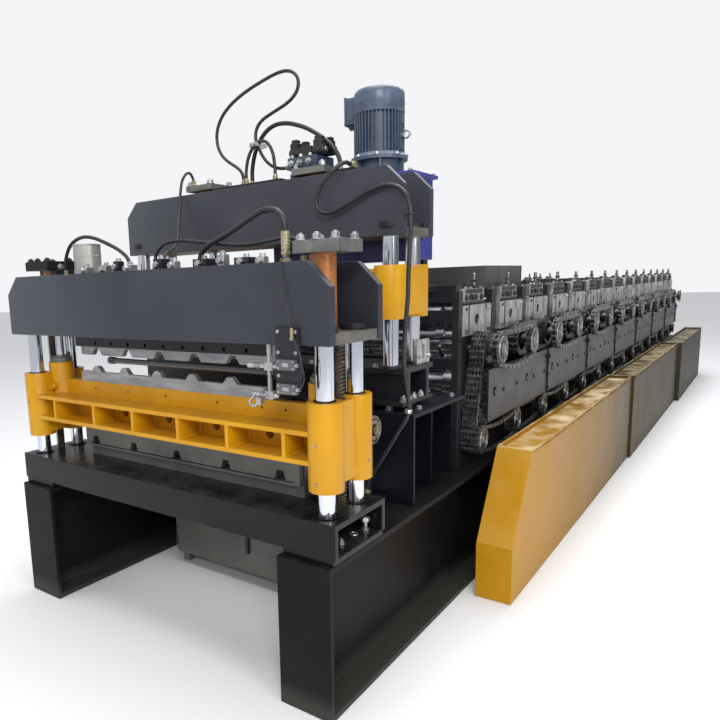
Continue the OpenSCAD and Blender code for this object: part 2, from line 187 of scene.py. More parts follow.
BLK = mat("paint_black", (0.017, 0.0175, 0.024), (0.010, 0.0105, 0.015), rough=(0.30, 0.48), scale=3.0, fine=420, bump=0.10, dust=0.15, dust_col=(0.06, 0.058, 0.055), spec=0.4)
# on both crosshead paints the lighter blue-grey second tone toward -X is a painted sheen
HEAD = mat("paint_black_blue", (0.046, 0.048, 0.066), (0.032, 0.034, 0.048), rough=(0.34, 0.50), scale=2.2, fine=420, bump=0.10, dust=0.2, dust_col=(0.12, 0.12, 0.12), spec=0.45, low=(0, -0.25, -1.0, (0.075, 0.080, 0.098)))
HEADF = mat("paint_black_blue_front", (0.033, 0.035, 0.049), (0.024, 0.026, 0.037), rough=(0.34, 0.50), scale=2.2, fine=420, bump=0.10, dust=0.2, dust_col=(0.12, 0.12, 0.12), spec=0.42, low=(0, -0.20, -1.0, (0.064, 0.069, 0.086)))
# darker, less shiny copy of the black paint: painted shade on the press brackets, which face away from the light and
# sit in the press's shadow
GUS = mat("paint_black_painted_shade", (0.0065, 0.0075, 0.0125), (0.0045, 0.005, 0.009), rough=(0.34, 0.5), scale=3, fine=300, bump=0.12, dust=0.3, dust_col=(0.045, 0.044, 0.045), spec=0.15)
BEAM = mat("paint_black_beam", (0.0078, 0.0078, 0.0094), (0.005, 0.005, 0.0062), rough=(0.36, 0.58), scale=3.5, fine=300, bump=0.14, dust=0.12, dust_col=(0.04, 0.038, 0.036), spec=0.12, low=(2, 0.085, 0.03, (0.040, 0.039, 0.035)))
TABLE = mat("paint_black_table", (0.007, 0.007, 0.0085), (0.004, 0.004, 0.005), rough=(0.14, 0.40), scale=7, fine=220, bump=0.08, dust=0.55, dust_col=(0.060, 0.057, 0.055), coat=0.06, spec=0.2)
WALL = mat("paint_black_oily", (0.022, 0.022, 0.025), (0.009, 0.009, 0.011), rough=(0.26, 0.5), scale=9, fine=240, bump=0.2, dust=0.2, dust_col=(0.10, 0.095, 0.085), spec=0.45)
YEL = mat("paint_yellow", (0.62, 0.315, 0.006), (0.53, 0.245, 0.004), rough=(0.28, 0.44), scale=4, fine=300, bump=0.12, dust=0.5, dust_col=(0.36, 0.165, 0.04), coat=0.10, spec=0.28)
GRD = mat("paint_yellow_guard", (0.54, 0.275, 0.008), (0.45, 0.215, 0.006), rough=(0.32, 0.5), scale=2.5, fine=260, bump=0.12, dust=0.95, dust_col=(0.78, 0.62, 0.38), spec=0.15, low=(1, -3.3, -0.6, (0.085, 0.055, 0.017)))
# guard yellow darkened to brown: painted shade on the middle guard's +X-facing sides; the light tone on up-facing
# faces is dust
GRD2 = mat("paint_yellow_guard_painted_shade", (0.070, 0.046, 0.012), (0.050, 0.033, 0.009), rough=(0.35, 0.55), scale=2.5, fine=260, bump=0.14, dust=0.98, spec=0.12, dust_col=(0.52, 0.41, 0.25), low=(1, -0.5, 2.4, (0.058, 0.043, 0.021)))
GRD3 = mat("paint_olive", (0.050, 0.046, 0.033), (0.032, 0.030, 0.023), rough=(0.4, 0.6), scale=3, fine=260, bump=0.14, dust=0.98, spec=0.15, dust_col=(0.45, 0.40, 0.28))
STL = mat("steel_brushed", (0.88, 0.865, 0.84), (0.27, 0.265, 0.255), rough=(0.26, 0.48), metal=0.8, scale=13, fine=90, bump=0.2, dist=0.0003, stretch=(1, 9, 0.8))
BLD = mat("steel_ground", (0.44, 0.45, 0.47), (0.25, 0.257, 0.27), rough=(0.35, 0.55), metal=0.6, scale=8, fine=140, bump=0.15, dist=0.0003, stretch=(1, 1, 6))
CAP = mat("steel_cap", (0.28, 0.28, 0.27), (0.15, 0.15, 0.145), rough=(0.35, 0.55), metal=0.6, scale=8, fine=140, bump=0.15, dist=0.0003, low=(0, -0.45, -0.7, (0.018, 0.018, 0.020)))
UND = mat("steel_dull", (0.18, 0.184, 0.172), (0.112, 0.116, 0.108), rough=(0.42, 0.6), metal=0.5, scale=6, fine=140, bump=0.15)
CHR = mat("chrome", (0.80, 0.82, 0.87), (0.66, 0.69, 0.76), rough=(0.07, 0.17), metal=1.0, scale=4, fine=60, bump=0.03, dist=0.0001, stretch=(1, 1, 0.2))
RAW = mat("plate_raw", (0.19, 0.18, 0.165), (0.11, 0.105, 0.095), rough=(0.45, 0.62), metal=0.35, scale=10, fine=120, bump=0.2)
COP = mat("paint_copper", (0.55, 0.21, 0.055), (0.36, 0.125, 0.035), rough=(0.2, 0.36), metal=0.35, scale=5, fine=200, bump=0.05, coat=0.3)
BLU = mat("paint_blue", (0.050, 0.050, 0.34), (0.026, 0.028, 0.20), rough=(0.26, 0.42), scale=4, fine=260, bump=0.08, dust=0.3, dust_col=(0.16, 0.16, 0.38), coat=0.2)
VLV = mat("paint_valve_blue", (0.060, 0.085, 0.15), (0.030, 0.045, 0.085), rough=(0.26, 0.42), scale=14, fine=260, bump=0.12, coat=0.2)
MOT = mat("paint_motor", (0.090, 0.128, 0.190), (0.046, 0.070, 0.112), rough=(0.30, 0.48), scale=12, fine=400, bump=0.2, dust=0.25, dust_col=(0.16, 0.18, 0.22), coat=0.15)
OIL = mat("chain_oiled", (0.17, 0.17, 0.18), (0.045, 0.045, 0.05), rough=(0.20, 0.46), metal=0.7, scale=30, fine=300, bump=0.3)
SPR = mat("sprocket_steel", (0.12, 0.118, 0.12), (0.030, 0.030, 0.032), rough=(0.25, 0.5), metal=0.8, scale=22, fine=260, bump=0.3)
RIM = mat("steel_worn_rim", (0.34, 0.335, 0.32), (0.10, 0.098, 0.095), rough=(0.22, 0.42), metal=0.85, scale=25, fine=260, bump=0.2)
ROL = mat("roll_steel", (0.36, 0.36, 0.38), (0.20, 0.20, 0.215), rough=(0.16, 0.34), metal=0.95, scale=9, fine=150, bump=0.06)
ZNC = mat("zinc", (0.58, 0.58, 0.59), (0.32, 0.32, 0.33), rough=(0.22, 0.4), metal=0.8, scale=20, fine=300, bump=0.1)
DRK = mat("bolt_dark", (0.085, 0.083, 0.082), (0.030, 0.030, 0.031), rough=(0.25, 0.45), metal=0.6, scale=26, fine=300, bump=0.2)
BRS = mat("crimp_yellow_zinc", (0.56, 0.50, 0.34), (0.34, 0.29, 0.17), rough=(0.25, 0.4), metal=0.75, scale=20, fine=300, bump=0.1)
RUB = mat("hose_rubber", (0.026, 0.026, 0.028), (0.014, 0.014, 0.016), rough=(0.34, 0.52), scale=12, fine=500, bump=0.35, dist=0.0008)
PLA = mat("plastic_black", (0.020, 0.020, 0.022), (0.012, 0.012, 0.014), rough=(0.24, 0.42), scale=15, fine=500, bump=0.2)
GRB = mat("rod_black_gloss", (0.012, 0.012, 0.014), (0.008, 0.008, 0.010), rough=(0.08, 0.2), scale=15, fine=200, bump=0.05, coat=0.5)
# near-black: on the flat discs and rings that stand for holes, openings and grooves it is painted shade inside them;
# on the wiper rings it is their own dark colour
HOL = mat("hole_dark", (0.006, 0.006, 0.007), (0.004, 0.004, 0.005), rough=(0.5, 0.8), scale=20, fine=300, bump=0.2, spec=0.2)
CAN = mat("can_grey", (0.50, 0.50, 0.48), (0.33, 0.33, 0.31), rough=(0.25, 0.42), metal=0.5, scale=4, fine=200, bump=0.08, stretch=(1, 1, 0.2))
OLV = mat("paint_cabinet", (0.150, 0.150, 0.136), (0.100, 0.101, 0.090), rough=(0.4, 0.55), scale=3, fine=260, bump=0.15, dust=0.4, dust_col=(0.14, 0.135, 0.12))
CVR = mat("cover_dark", (0.050, 0.048, 0.047), (0.030, 0.029, 0.029), rough=(0.36, 0.55), scale=4, fine=260, bump=0.15, dust=0.4, dust_col=(0.10, 0.095, 0.085), low=(0, 0.35, 0.52, (0.085, 0.080, 0.076)))
RCK = mat("rack_steel", (0.22, 0.185, 0.13), (0.085, 0.070, 0.05), rough=(0.3, 0.5), metal=0.7, scale=22, fine=260, bump=0.2)
DSC = mat("disc_brass", (0.25, 0.225, 0.16), (0.10, 0.088, 0.060), rough=(0.25, 0.42), metal=0.7, scale=14, fine=200, bump=0.15)
CLR = mat("box_clear", (0.45, 0.48, 0.50), (0.30, 0.33, 0.35), rough=(0.08, 0.2), scale=10, fine=200, bump=0.05)
CLR.node_tree.nodes["Principled BSDF"].inputs["Transmission Weight"].default_value = 0.75

NODE_MATS = {
    "beam_near": BEAM, "beam_far": BEAM, "cross_members": BEAM, "shear_table": TABLE, "table_blade": UND,
    "cabinet": OLV, "wall_near": WALL, "wall_far": WALL, "bearing_plates": STL, "screw_down_units": STL,
    "tie_bars": BLK, "rolls_lower": ROL, "rolls_upper": ROL, "sprockets": SPR, "drive_chains": OIL,
    "chain_plates": WALL, "guard_front": GRD, "guard_middle": GRD2, "guard_rear": GRD3, "top_cover": CVR,
    "infeed_table": BLK, "press_brackets": GUS, "press_bed": BLK, "slot_plates": STL,
    "front_pillars": CHR, "front_crosshead": HEADF, "crosshead_bases": RAW, "crosshead_bridges": BLK,
    "front_cylinders": COP, "cylinder_caps": CAP, "front_upper_blade": BLD, "front_blade_holder": BLK,
    "front_racks": RCK, "switch_bracket": BLK, "guide_rod": GRB, "round_can": CAN,
    "front_carriage": YEL, "front_carriage_blade": BLD, "front_under_blade": UND, "front_rods": CHR,
    "sync_shaft": DSC, "rear_pillars": CHR, "rear_crosshead": HEAD, "rear_cylinders": COP,
    "rear_carriage": YEL, "rear_carriage_blade": BLD, "rear_rods": CHR, "tank": BLU, "tank_stand": BLK,
    "pump_motor": MOT, "valve_block": VLV, "hose_fittings": BRS,
}
BEVELS = {"beam_near": 2.5, "beam_far": 2.5, "shear_table": 3, "front_crosshead": 2, "rear_crosshead": 2, "front_carriage": 2.5,
          "rear_carriage": 2.5, "guard_front": 3, "guard_middle": 3, "guard_rear": 3, "bearing_plates": 1.2, "screw_down_units": 1.5,
          "press_brackets": 1.5, "press_bed": 1.5, "tank": 3, "top_cover": 2, "cabinet": 3, "cylinder_caps": 2, "wall_near": 1.2,
          "chain_plates": 1, "tie_bars": 1.5, "crosshead_bases": 1.5, "front_upper_blade": 0.8, "front_carriage_blade": 0.8}
for n, ob in NODES.items():
    m = NODE_MATS.get(n, RUB if n.startswith("hose") else BLK)
    if len(ob.material_slots) == 0:
        ob.data.materials.append(m)
    for s in ob.material_slots:
        s.material = m
    if n in BEVELS:
        w = ob.modifiers.new("weld", "WELD")
        w.merge_threshold = 0.00002
        bv = ob.modifiers.new("bevel", "BEVEL")
        bv.width = BEVELS[n] / 1000
        bv.segments = 2
        bv.limit_method = "ANGLE"
        bv.angle_limit = math.radians(50)
        bv.harden_normals = False


# ------------------------------------------------------------------ geometry helpers
class Geo:
    def __init__(self):
        self.bm = bmesh.new()
        self.mi = 0

    def poly_prism(self, pts, axis, a0, a1):
        """pts: 2-D outline (y,z), (x,z) or (x,y) for axis x, y, z, extruded from a0 to a1."""
        def P(p, a):
            if axis == "x":
                return M(a, p[0], p[1])
            if axis == "y":
                return M(p[0], a, p[1])
            return M(p[0], p[1], a)
        A = [self.bm.verts.new(P(p, a0)) for p in pts]
        B = [self.bm.verts.new(P(p, a1)) for p in pts]
        n = len(pts)
        fs = [self.bm.faces.new(A), self.bm.faces.new(B[::-1])]
        for i in range(n):
            fs.append(self.bm.faces.new((A[i], B[i], B[(i + 1) % n], A[(i + 1) % n])))
        for f in fs:
            f.material_index = self.mi
        return A + B

    def box(self, x0, x1, y0, y1, z0, z1):
        return self.poly_prism([(x0, y0), (x1, y0), (x1, y1), (x0, y1)], "z", z0, z1)

    def cyl(self, axis, u, v, a0, a1, r, seg=20, r2=None, ph=0.0):
        r2 = r if r2 is None else r2
        vs = self.poly_prism([(u + r * math.cos(2 * math.pi * i / seg + ph), v + r * math.sin(2 * math.pi * i / seg + ph)) for i in range(seg)], axis, a0, a1)
        if r2 != r:
            B = vs[seg:]
            c = sum((w.co for w in B), Vector()) / seg
            for w in B:
                w.co = c + (w.co - c) * (r2 / r)
        return vs

    def hexa(self, axis, u, v, a0, a1, af):
        self.cyl(axis, u, v, a0, a1, af / 2 / math.cos(math.pi / 6), 6, ph=rnd.random())

    def bolt(self, axis, u, v, a0, h, af, washer=True, stud=0):
        """hex head standing on the face at a0, growing by h (sign gives the direction)"""
        s = 1 if h > 0 else -1
        t = 2.5 * s if washer else 0
        if washer:
            self.cyl(axis, u, v, a0, a0 + t, af * 0.78, 18)
        self.hexa(axis, u, v, a0 + t, a0 + t + h, af)
        if stud:
            self.cyl(axis, u, v, a0 + t + h, a0 + t + h + stud * s, af * 0.3, 12)

    def ring(self, axis, u, v, a, R, r, seg=28, ms=8):
        """torus in the plane normal to axis"""
        rows = []
        for i in range(seg):
            t = 2 * math.pi * i / seg
            row = []
            for j in range(ms):
                q = 2 * math.pi * j / ms
                rr = R + r * math.cos(q)
                p = (u + rr * math.cos(t), v + rr * math.sin(t))
                d = a + r * math.sin(q)
                row.append(self.bm.verts.new(M(d, *p) if axis == "x" else M(p[0], d, p[1]) if axis == "y" else M(p[0], p[1], d)))
            rows.append(row)
        for i in range(seg):
            for j in range(ms):
                f = self.bm.faces.new((rows[i][j], rows[(i + 1) % seg][j], rows[(i + 1) % seg][(j + 1) % ms], rows[i][(j + 1) % ms]))
                f.material_index = self.mi

    def tube(self, pts, r, seg=10):
        """pts in mm; closed tube swept along them"""
        P = [M(*p) for p in pts]
        rows = []
        ref = Vector((0.13, 0.31, 0.94)).normalized()
        for i, p in enumerate(P):
            t = (P[min(i + 1, len(P) - 1)] - P[max(i - 1, 0)]).normalized()
            if i == 0:
                u = t.cross(ref).normalized()
            else:
                u = (u - t * u.dot(t)).normalized()
            v = t.cross(u)
            rows.append([self.bm.verts.new(p + (r / 1000) * (math.cos(2 * math.pi * j / seg) * u + math.sin(2 * math.pi * j / seg) * v)) for j in range(seg)])
        for a, b in zip(rows, rows[1:]):
            for j in range(seg):
                f = self.bm.faces.new((a[j], a[(j + 1) % seg], b[(j + 1) % seg], b[j]))
                f.material_index = self.mi
        for row in (rows[0][::-1], rows[-1]):
            self.bm.faces.new(row).material_index = self.mi

    def done(self, name, mats, body, bevel=0.0, replaces=(), seg=2):
        bmesh.ops.recalc_face_normals(self.bm, faces=self.bm.faces)
        for e in self.bm.edges:
            if len(e.link_faces) == 2:
                e.smooth = e.calc_face_angle(0) < math.radians(38)
        for f in self.bm.faces:
            f.smooth = True
        me = bpy.data.meshes.new(name)
        self.bm.to_mesh(me)
        self.bm.free()
        for m in (mats if isinstance(mats, (list, tuple)) else [mats]):
            me.materials.append(m)
        ob = bpy.data.objects.new(name, me)
        bpy.context.scene.collection.objects.link(ob)
        if bevel:
            b = ob.modifiers.new("bevel", "BEVEL")
            b.width = bevel / 1000
            b.segments = seg
            b.limit_method = "ANGLE"
            b.angle_limit = math.radians(45)
        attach(ob, body)
        for n in replaces:
            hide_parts(n)
        return ob


# ------------------------------------------------------------------ hoses
R_LOOP_LEFT = [[-70,740,1815], [-70,740,1823], [-86,740,1855], [-122,740,1881], [-159,740,1905], [-191,740,1935], [-212,740,1974], [-217,740,2018], 
    [-205,740,2060], [-180,740,2096], [-146,740,2124], [-107,740,2146], [-67,740,2163], [-25,740,2177], [18,740,2189], [61,740,2199], 
    [105,740,2208], [149,740,2212], [192,740,2206], [227,740,2180], [231,740,2137], [204,740,2103], [164,740,2083], [122,740,2070], 
    [80,740,2057], [39,740,2040], [9,740,2008], [7,740,1965], [25,740,1924], [49,740,1887], [81,740,1857], [121,740,1839], [157,740,1834], 
    [165,740,1834]]
R_LOOP_RIGHT = [[-62,790,1815], [-62,790,1823], [-59,788,1855], [-47,783,1893], [-29,777,1929], [-5,772,1961], [24,768,1989], [58,765,2009], [97,765,2020], 
    [137,765,2019], [176,765,2011], [214,764,1998], [251,764,1982], [286,763,1962], [320,762,1940], [352,761,1915], [380,761,1887], 
    [403,760,1854], [412,760,1823], [412,760,1815]]
R_INNER = [[-40,722,1815], [-40,722,1838], [-36,722,1862], [-30,722,1885], [-20,722,1907], [-6,722,1927], [11,722,1943], [32,722,1954], [55,722,1956], 
    [77,722,1947], [93,722,1930], [104,722,1909], [111,722,1886], [114,722,1863], [117,722,1839], [117,722,1815]]
R_FRONT_RIGHT = [[565,172,1529], [565,172,1537], [557,172,1566], [531,174,1592], [494,175,1599], [457,177,1594], [421,179,1581], [386,181,1567], 
    [352,183,1552], [316,185,1539], [280,187,1526], [244,189,1515], [209,192,1502], [178,194,1482], [165,195,1455], [165,195,1447]]
R_FRONT_CROSS = [[-80,200,1447], [-80,200,1455], [-65,201,1495], [-23,202,1523], [28,204,1530], [79,206,1529], [130,209,1523], [181,211,1516], [232,213,1509], 
    [283,214,1502], [335,215,1498], [386,215,1497], [438,215,1501], [489,215,1506], [540,214,1510], [588,213,1493], [606,212,1455], 
    [606,212,1447]]
R_FRONT_LEFT = [[-625,180,1447], [-625,180,1455], [-620,180,1486], [-604,181,1522], [-578,183,1552], [-543,185,1570], [-504,188,1579], [-465,191,1578], 
    [-426,194,1570], [-388,197,1557], [-352,200,1543], [-315,203,1527], [-280,206,1508], [-250,209,1484], [-237,210,1455], [-237,210,1447]]
R_DROP = [[-340,705,1835], [-340,705,1843], [-341,676,1872], [-343,638,1840], [-345,623,1791], [-346,616,1739], [-341,604,1689], [-324,577,1647], 
    [-295,545,1618], [-261,512,1595], [-229,478,1574], [-198,441,1553], [-169,402,1533], [-141,361,1517], [-117,316,1505], [-95,271,1490], 
    [-85,250,1455], [-85,250,1447]]
R_SIDE = [[500,690,1800], [500,646,1800], [471,613,1773], [440,604,1741], [411,604,1705], [397,604,1662], [420,607,1624], [464,611,1620], 
    [508,614,1635], [550,617,1654], [592,619,1673], [636,620,1688], [681,620,1696], [726,618,1687], [763,611,1661], [785,603,1622], 
    [793,598,1576], [794,595,1530], [792,592,1484], [791,591,1438], [789,590,1392], [788,589,1346], [787,589,1300], [783,589,1254], 
    [779,589,1208], [775,589,1162], [771,590,1116], [770,593,1070], [771,599,1024], [774,605,978], [778,613,933], [778,618,887], [763,618,843], 
    [739,616,804], [716,614,764], [693,612,724], [670,610,684], [647,608,644], [624,606,604], [612,605,560]]


def smooth_route(pts, per=8):
    P = [Vector(p) for p in pts]
    out = []
    for i in range(len(P) - 1):
        a, b, c, d = P[max(i - 1, 0)], P[i], P[i + 1], P[min(i + 2, len(P) - 1)]
        for k in range(per):
            t = k / per
            out.append(0.5 * ((2 * b) + (c - a) * t + (2 * a - 5 * b + 4 * c - d) * t * t + (3 * b - a - 3 * c + d) * t ** 3))
    out.append(P[-1])
    return out


def resample(P, n):
    L = [0.0]
    for a, b in zip(P, P[1:]):
        L.append(L[-1] + (b - a).length)
    out, j = [], 0
    for k in range(n):
        t = L[-1] * k / (n - 1)
        while j < len(P) - 2 and L[j + 1] < t:
            j += 1
        s = (t - L[j]) / max(L[j + 1] - L[j], 1e-9)
        out.append(P[j].lerp(P[j + 1], s))
    return out, L[-1]


HOSES = {}


def hose(node, pts, d):
    dense = smooth_route(pts)
    n = max(15, min(40, len(pts) * 2))
    pp, length = resample(dense, n)
    cu = bpy.data.curves.new(node + "_line", "CURVE")
    cu.dimensions = "3D"
    sp = cu.splines.new("BEZIER")
    sp.bezier_points.add(n - 1)
    for q, p in zip(sp.bezier_points, pp):
        q.co = M(*p)
        q.handle_left_type = q.handle_right_type = "AUTO"
    sp.resolution_u = 4
    cu.bevel_depth = d / 2000
    cu.bevel_resolution = 5
    cu.use_fill_caps = True
    ob = bpy.data.objects.new(node + "_line", cu)
    bpy.context.scene.collection.objects.link(ob)
    cu.materials.append(RUB)
    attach(ob, "base")
    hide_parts(node)
    HOSES[node] = (ob, pts, d)
    return ob


hose("hose_loop_left", R_LOOP_LEFT, 14)
hose("hose_loop_right", R_LOOP_RIGHT, 18)
hose("hose_inner", R_INNER, 14)
hose("hose_front_right", R_FRONT_RIGHT, 20)
hose("hose_front_cross", R_FRONT_CROSS, 13)
hose("hose_front_left", R_FRONT_LEFT, 15)
hose("hose_drop", R_DROP, 12)
hose("hose_side", R_SIDE, 16)

# fittings: crimp ferrule with ridges, hex nut and nipple at each hose end
g = Geo()
FIT = [(-70, 740, 1785, 1815), (-62, 790, 1785, 1815), (-40, 722, 1785, 1815), (117, 722, 1785, 1815), (412, 760, 1785, 1815),
       (165, 195, 1425, 1447), (-80, 200, 1425, 1447), (606, 212, 1425, 1447), (-625, 180, 1425, 1447),
       (-237, 210, 1425, 1447), (-340, 705, 1815, 1835), (-85, 250, 1425, 1447)]
for x, y, z0, z1 in FIT:
    g.hexa("z", x, y, z0, z0 + 9, 23)
    g.cyl("z", x, y, z0 + 9, z1 - 1, 9, 18)
    for k in range(3):
        g.cyl("z", x, y, z0 + 11 + k * 4.2, z0 + 13.6 + k * 4.2, 11, 18)
g.hexa("x", 740, 1834, 187, 195, 23)
g.cyl("x", 740, 1834, 165, 187, 9.5, 18)
for k in range(3):
    g.cyl("x", 740, 1834, 168 + k * 6, 171.5 + k * 6, 11.2, 18)
x, y = 565, 172
g.hexa("z", x, y, 1425, 1441, 34)
g.cyl("z", x, y, 1441, 1466, 11, 18)
g.hexa("z", x, y, 1452, 1464, 30)
g.cyl("z", x, y, 1466, 1526, 14.5, 24)
for k in range(5):
    g.cyl("z", x, y, 1470 + k * 11, 1476 + k * 11, 15.5, 24)
g.box(489, 511, 702, 722, 1785, 1811)
g.hexa("y", 500, 1799, 694, 702, 22)
g.cyl("y", 500, 1799, 690, 694, 11, 18)
g.hexa("z", 612, 605, 545, 554, 23)
g.cyl("z", 612, 605, 554, 560, 11, 18)
g.done("hose_ends", [BRS], "base", bevel=0.7, replaces=["hose_fittings"])

# ------------------------------------------------------------------ stations
N_ST, ST_P, ST_Y0, ST_W, ST_C = 15, 480, 1223, 341, 162
YU = [ST_Y0 + i * ST_P + ST_C for i in range(N_ST)]
YL = [v - 110 for v in YU]
ZA, ZB, ZC, ZD = 641, 801, 1038, 1176

g = Geo()
for s in (1, -1):
    for i in range(N_ST):
        y0 = ST_Y0 + i * ST_P
        o = 740 * s

        def slab(a, b, x, t, z0, z1):
            g.box(min(x * s, (x + t) * s), max(x * s, (x + t) * s), y0 + a, y0 + b, z0, z1)
        # dark joints each side of the sliding chock, light guide strips beyond them
        g.mi = 2
        slab(70, 76, 740, 1.2, 1106, 1238)
        slab(268, 274, 740, 1.2, 1106, 1238)
        slab(6, 335, 738, 2.6, 1239, 1246)
        g.mi = 0
        slab(282, 334, 740, 7, 1108, 1236)
        slab(78, 96, 740, 2.5, 1108, 1236)
        slab(246, 264, 740, 2.5, 1108, 1236)
        # shaft end inside the round opening of the chock; the near-black disc behind it is painted shade inside the
        # opening
        yk = YU[i] - y0 + 10
        g.mi = 2
        g.cyl("x", y0 + yk, 1172, 733 * s, 735 * s, 24.5, 26)
        g.mi = 3
        g.cyl("x", y0 + yk + 9, 1168, 735 * s, 739 * s, 13, 20)
        g.mi = 1
        for a in (294, 322):
            for z in (1124, 1220):
                g.bolt("x", y0 + a, z, 747 * s, 5 * s, 11, washer=False)
        g.mi = 3
        slab(286, 332, 747, 7, 1112, 1128)
        for a, z in ((40, 1222), (40, 1124)):
            g.bolt("x", y0 + a, z, 740 * s, 5 * s, 12, washer=False)
        # screw-down block: dark clamp strip, hex bolts, spring pots below, adjusting nut
        bx = 736 * s
        slab(8, 266, 736, 3, 1246, 1256)
        slab(40, 232, 736, 6, 1290, 1309)
        for a in (46, 116, 150, 226):
            g.bolt("x", y0 + a, 1272, bx, 10 * s, 19)
        g.mi = 2
        slab(88, 96, 736, 1.2, 1258, 1290)
        slab(178, 186, 736, 1.2, 1258, 1290)
        ys = YU[i] + 38
        g.mi = 3
        g.hexa("z", 712 * s, ys, 1311, 1327, 34)
        g.cyl("z", 712 * s, ys, 1311, 1314, 22, 20)
        for k in range(14):
            g.cyl("z", 712 * s, ys, 1329 + k * 3.4, 1331 + k * 3.4, 9.4, 12)
        g.hexa("z", 712 * s, ys, 1340, 1349, 26)
        for a in (30, 92, 240):
            g.bolt("z", 712 * s, y0 + a, 1311, 12, 20, stud=8)
        g.mi = 1
        for a in (60, 118, 232):
            g.bolt("z", 726 * s, y0 + a, 1311, 9, 15, washer=False)
g.done("station_hardware", [STL, ZNC, HOL, DRK], "base")


# sprockets
def gear(g, y, z, x0, x1, r, teeth, depth=9):
    pts = []
    for k in range(teeth):
        for f, rr in ((0.0, r), (0.22, r), (0.42, r - depth), (0.80, r - depth)):
            t = 2 * math.pi * (k + f) / teeth
            pts.append((y + rr * math.cos(t), z + rr * math.sin(t)))
    g.poly_prism(pts, "x", x0, x1)


g = Geo()
for i in range(N_ST):
    y, z = YU[i], ZC
    g.mi = 0
    for x0, x1 in ((745, 750), (764, 770), (784, 790), (802, 808), (838, 844), (860, 866)) if i == 0 else ((754, 760), (776, 782), (798, 804), (838, 844), (860, 866)):
        gear(g, y, z, x0, x1, 72, 15, 11)
    g.cyl("x", y, z, 732, 868, 30, 24)
    g.cyl("x", y, z, 754, 804, 54, 28)
    g.cyl("x", y, z, 838, 864, 54, 28)
    g.mi = 1
    g.ring("x", y, z, 865, 57, 4.5, 34, 6)
    g.ring("x", y, z, 866, 44, 2.6, 30, 6)
    g.ring("x", y, z, 867, 25, 3.5, 24, 6)
    g.cyl("x", y, z, 866, 869, 17, 18)
    # near-black discs on the sprocket face: painted shade in its holes
    g.mi = 2
    for k in range(6):
        t = math.pi / 3 * k + 0.4
        g.cyl("x", y + 38 * math.cos(t), z + 38 * math.sin(t), 865, 866.6, 6, 10)
    y, z = YL[i], ZA
    g.mi = 0
    for x0, x1 in (((745, 750), (764, 770), (784, 790), (802, 808)) if i == 0 else ((778, 783), (797, 802))) + ((811, 815), (822, 826)):
        gear(g, y, z, x0, x1, 59, 13, 11)
    g.cyl("x", y, z, 732, 828, 20, 20)
    g.cyl("x", y, z, 745 if i == 0 else 778, 804, 42, 24)
    g.cyl("x", y, z, 810, 825, 40, 24)
    g.mi = 1
    g.ring("x", y, z, 825, 47, 4.4, 30, 6)
    g.ring("x", y, z, 826, 34, 2.4, 26, 6)
    g.ring("x", y, z, 828, 18, 3, 20, 6)
    g.cyl("x", y, z, 826, 830, 12, 16)
g.done("sprocket_set", [SPR, RIM, HOL], "base", replaces=["sprockets"])


# chains
def loop_path(ya, yb, z, r, sag_top, sag_bot):
    pts = []
    n = 14
    for k in range(n + 1):
        t = k / n
        pts.append((ya + (yb - ya) * t, z + r - 4 * sag_top * t * (1 - t)))
    for k in range(1, 12):
        t = math.pi / 2 - math.pi * k / 12
        pts.append((yb + r * math.cos(t), z + r * math.sin(t)))
    for k in range(n + 1):
        t = k / n
        pts.append((yb + (ya - yb) * t, z - r - 4 * sag_bot * t * (1 - t)))
    for k in range(1, 12):
        t = -math.pi / 2 - math.pi * k / 12
        pts.append((ya + r * math.cos(t), z + r * math.sin(t)))
    return pts


def slant_path(ya, za, ra, yb, zb, rb):
    """loop round a lower sprocket (a) and an upper one (b)"""
    d = Vector((yb - ya, zb - za))
    base = math.atan2(d.y, d.x)
    off = math.acos((ra - rb) / d.length)
    pts = []
    for k in range(13):
        t = base + off + (2 * math.pi - 2 * off) * k / 12
        pts.append((ya + ra * math.cos(t), za + ra * math.sin(t)))
    for k in range(13):
        t = base - off + (2 * off) * k / 12
        pts.append((yb + rb * math.cos(t), zb + rb * math.sin(t)))
    full = []
    for a, b in zip(pts, pts[1:] + pts[:1]):
        L = math.hypot(b[0] - a[0], b[1] - a[1])
        m = max(1, int(L / 30))
        for k in range(m):
            full.append((a[0] + (b[0] - a[0]) * k / m, a[1] + (b[1] - a[1]) * k / m))
    return full


